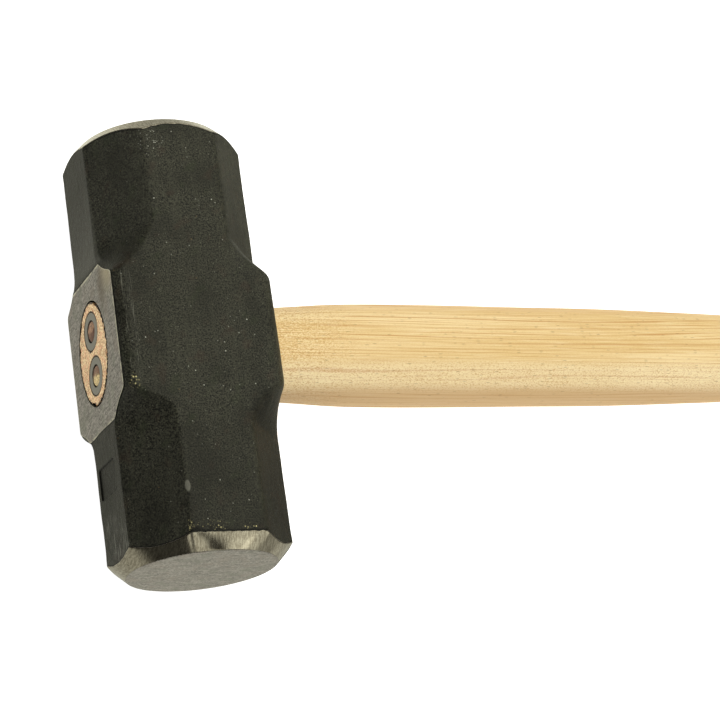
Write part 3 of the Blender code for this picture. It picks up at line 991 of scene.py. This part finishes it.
def end_grain(look):
    """Cut end fibres, crushed dark beside the two ring wedges, with their cores stained by the steel."""
    pores = look.noise((1.2, 0.75, 0.75), 3.0, 0.7)
    blotch = look.noise((3, 2.4, 2.4), 2.0)
    end = look.blend(look.step(pores, 0.38, 0.6), srgb(180, 130, 84), srgb(255, 226, 172))
    end = look.wash(end, look.step(blotch, 0.45, 0.62), 0.45, srgb(244, 178, 134))
    at_end = look.step(look.x, GROUND_FACE / MM + 3, GROUND_FACE / MM + 2)
    across = look.vector("DIVIDE", look.at, (1000.0, EYE_TOP[0] / MM, EYE_TOP[1] / MM))
    rim = look.vector("LENGTH", across)
    torn = look.math("MULTIPLY_ADD", blotch, 0.2, look.math("MULTIPLY_ADD", pores, 0.08, rim))
    end = look.blend(look.all_of(look.step(torn, 1.07, 1.10), at_end), end, srgb(50, 32, 20))
    cores = (  # a wedge's side, and the colours of its core where Y is lower and where it is higher
        (1, srgb(118, 76, 52), srgb(180, 134, 98)),
        (-1, srgb(238, 210, 144), srgb(146, 106, 78)),
    )
    inner, outer = WEDGE_INNER[0] / MM, WEDGE_OUTER[0] / MM
    for side, lower, higher in cores:
        beside = look.math("SUBTRACT", look.y, side * WEDGE_OFFSET / MM)
        z_square = look.math("MULTIPLY", look.z, look.z)
        reach = look.math("SQRT", look.math("MULTIPLY_ADD", beside, beside, z_square))
        half = look.step(look.math("MULTIPLY_ADD", blotch, 4.0, beside), 1.2, 2.8)
        core = look.blend(half, lower, higher)
        core = look.wash(core, look.step(pores, 0.6, 0.4), 0.5, srgb(66, 42, 28))
        inside = look.all_of(look.step(reach, inner + 0.1, inner - 0.1), at_end)
        end = look.blend(inside, end, core)
        half_ring = (outer - inner) / 2
        away = look.math("ABSOLUTE", look.math("SUBTRACT", reach, (inner + outer) / 2))
        crushed = look.all_of(look.step(away, half_ring + 0.8, half_ring + 0.45), at_end)
        end = look.wash(end, crushed, 0.85, srgb(46, 28, 18))
    crack = look.any_of(
        look.spot((-33.1, 1.7, -2.6), (3, 0.5, 1.1), 0.3),
        look.spot((-33.1, 2.2, -1.4), (3, 0.9, 0.4), 0.3),
    )
    return look.blend(crack, end, srgb(26, 14, 8)), pores


# ---------------------------------------------------------------- stage


FLOOR_HALF = 12.0  # this wide to keep its edge out of low views


def pale_floor():
    """A floor that touches the lower cheek's edge and the butt, as the hammer would lie."""
    cheek_edge = HAFT_FACE - BLOCK_EDGE[1, -1][0]
    butt_x = HAFT_OUTLINE[-1][0]
    butt_height = HEAD_AXIS_Z - HAFT_OUTLINE[-1][2]
    slope = math.atan2(butt_height, butt_x - cheek_edge)
    mesh = bpy.data.meshes.new("floor")
    corners = [(x * FLOOR_HALF, y * FLOOR_HALF, 0) for x, y in ((-1, -1), (1, -1), (1, 1), (-1, 1))]
    mesh.from_pydata(corners, [], [(0, 1, 2, 3)])
    floor = bpy.data.objects.new("floor", mesh)
    bpy.context.scene.collection.objects.link(floor)
    floor.matrix_world = Matrix.Translation((cheek_edge, 0, 0)) @ Matrix.Rotation(-slope, 4, "Y")
    look = Look("pale_floor")
    tone = look.noise((90, 90, 90), 2.0)
    look.feed("Base Color", look.blend(tone, (0.74, 0.74, 0.74), (0.78, 0.78, 0.78)))
    look.shader.inputs["Roughness"].default_value = 0.9
    look.shader.inputs["Emission Color"].default_value = (1, 1, 1, 1)
    look.shader.inputs["Emission Strength"].default_value = 1.0
    mesh.materials.append(look.material)
    floor.visible_glossy = False


def fill_light(name, place, target, size, power):
    """A broad soft light that shapes the wood and the floor, and doesn't mirror in the steel."""
    data = bpy.data.lights.new(name, "AREA")
    data.shape = "RECTANGLE"
    data.size, data.size_y = size
    data.energy = power
    lamp = bpy.data.objects.new(name, data)
    lamp.location = place
    lamp.rotation_euler = (Vector(target) - Vector(place)).to_track_quat("-Z", "Y").to_euler()
    lamp.visible_glossy = False
    bpy.context.scene.collection.objects.link(lamp)


STUDIO_GLOW = 0.06
STUDIO_TINT = (1.0, 0.985, 0.80)
STUDIO_LIGHTS = (  # direction that it comes from, half angles where it is full and gone, strength
    ((0.36, 0.46, 0.80), 14, 56, 0.98),  # overhead
    ((0.0, 0.0, -1.0), 52, 70, 0.48),  # the pale table below
    ((0.43, 0.32, -0.85), 8, 20, -0.44),  # the dark gap beyond its edge
    ((0.25, 0.80, -0.55), 25, 36, 0.42),  # low behind
    ((0.06, -0.93, 0.35), 9, 20, 0.80),  # narrow card in front
    ((0.55, -0.58, 0.60), 11, 18, 1.10),  # wider card beside it
    ((0.62, -0.74, 0.27), 8, 20, 0.75),  # its lower end
    ((0.84, -0.50, -0.22), 14, 30, 0.36),  # its soft edge
)


def studio():
    """Soft boxes and cards that stand all round, as a world of smooth bright patches on a dim room."""
    world = bpy.data.worlds.new("studio")
    world.use_nodes = True
    tree = world.node_tree
    direction = tree.nodes.new("ShaderNodeTexCoord").outputs["Generated"]
    total = None
    for center, full, gone, strength in STUDIO_LIGHTS:
        toward = tree.nodes.new("ShaderNodeVectorMath")
        toward.operation = "DOT_PRODUCT"
        toward.inputs[1].default_value = Vector(center).normalized()
        tree.links.new(direction, toward.inputs[0])
        patch = tree.nodes.new("ShaderNodeMapRange")
        patch.interpolation_type = "SMOOTHSTEP"
        patch.inputs["From Min"].default_value = math.cos(math.radians(gone))
        patch.inputs["From Max"].default_value = math.cos(math.radians(full))
        patch.inputs["To Max"].default_value = strength
        tree.links.new(toward.outputs["Value"], patch.inputs["Value"])
        added = tree.nodes.new("ShaderNodeMath")
        added.inputs[1].default_value = STUDIO_GLOW
        tree.links.new(patch.outputs[0], added.inputs[0])
        if total:
            tree.links.new(total, added.inputs[1])
        total = added.outputs[0]
    tree.links.new(total, tree.nodes["Background"].inputs["Strength"])
    tree.nodes["Background"].inputs["Color"].default_value = (*STUDIO_TINT, 1.0)
    bpy.context.scene.world = world
    fill_light("fill", place=(0.25, 0.10, 1.5), target=(0.1, 0, 0), size=(1.8, 1.5), power=17)
    bpy.context.scene.view_settings.view_transform = "Standard"


def camera():
    data = bpy.data.cameras.new("camera")
    data.lens = CAMERA_LENS
    data.sensor_width = 36
    obj = bpy.data.objects.new("camera", data)
    bpy.context.scene.collection.objects.link(obj)
    forward = (CAMERA_TARGET - CAMERA_PLACE).normalized()
    right = forward.cross(Vector((0, 1, 0))).normalized()
    up = right.cross(forward)
    turn = Matrix((right, up, -forward)).transposed().to_4x4()
    roll = Matrix.Rotation(math.radians(CAMERA_ROLL), 4, "Z")
    obj.matrix_world = Matrix.Translation(CAMERA_PLACE) @ turn @ roll
    bpy.context.scene.camera = obj


make_head(forged_steel())
make_haft(hickory())
make_wedges(wedge_steel())
pale_floor()
studio()
camera()
